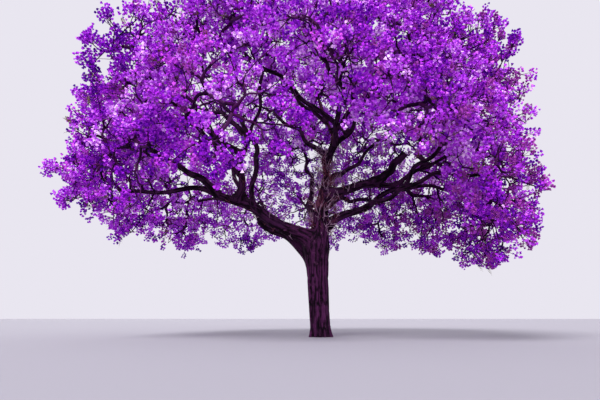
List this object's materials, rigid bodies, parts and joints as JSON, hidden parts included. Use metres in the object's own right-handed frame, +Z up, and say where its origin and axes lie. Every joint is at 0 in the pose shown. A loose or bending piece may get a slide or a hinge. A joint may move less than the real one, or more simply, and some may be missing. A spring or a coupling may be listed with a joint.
{
  "type": "jacaranda tree",
  "caption": "Broad jacaranda tree in full flower: a fluted trunk that forks low into crooked spreading boughs, each carrying its own mass of violet blossom.",
  "frame": {"origin": "middle of the flat cut under the trunk, at ground level", "axes": "+Z up along the trunk; +X to the right and +Y away from the viewer in the picture"},
  "size_m": [17.0424, 16.0494, 13.1533],
  "materials": {
    "bark": "rough, finely furrowed dark bark with paler ridges",
    "blossom": "soft matt violet petals, lighter at the lips"
  },
  "bodies": {
    "root": {"arching_blossom": "blossom", "arching_bough": "bark", "back_blossom": "blossom", "back_bough": "bark", "back_high_blossom": "blossom", "back_high_bough": "bark", "back_left_blossom": "blossom", "back_left_bough": "bark", "back_left_high_blossom": "blossom", "back_left_high_bough": "bark", "back_right_blossom": "blossom", "back_right_bough": "bark", "back_right_high_blossom": "blossom", "back_right_high_bough": "bark", "front_blossom": "blossom", "front_bough": "bark", "front_left_blossom": "blossom", "front_left_bough": "bark", "front_right_blossom": "blossom", "front_right_bough": "bark", "front_riser_blossom": "blossom", "front_riser_bough": "bark", "front_top_blossom": "blossom", "front_top_bough": "bark", "leader": "bark", "leader_blossom": "blossom", "left_arm_blossom": "blossom", "left_arm_bough": "bark", "left_back_blossom": "blossom", "left_back_bough": "bark", "left_back_high_blossom": "blossom", "left_back_high_bough": "bark", "left_blossom": "blossom", "left_bough": "bark", "left_front_blossom": "blossom", "left_front_bough": "bark", "left_high_blossom": "blossom", "left_high_bough": "bark", "left_riser_blossom": "blossom", "left_riser_bough": "bark", "left_shoulder_blossom": "blossom", "left_shoulder_bough": "bark", "left_top_blossom": "blossom", "left_top_bough": "bark", "right_arm_blossom": "blossom", "right_arm_bough": "bark", "right_back_blossom": "blossom", "right_back_bough": "bark", "right_blossom": "blossom", "right_bough": "bark", "right_front_blossom": "blossom", "right_front_bough": "bark", "right_high_blossom": "blossom", "right_high_bough": "bark", "right_riser_blossom": "blossom", "right_riser_bough": "bark", "right_shoulder_blossom": "blossom", "right_shoulder_bough": "bark", "right_stub": "bark", "trunk": "bark"}
  },
  "joints": []
}
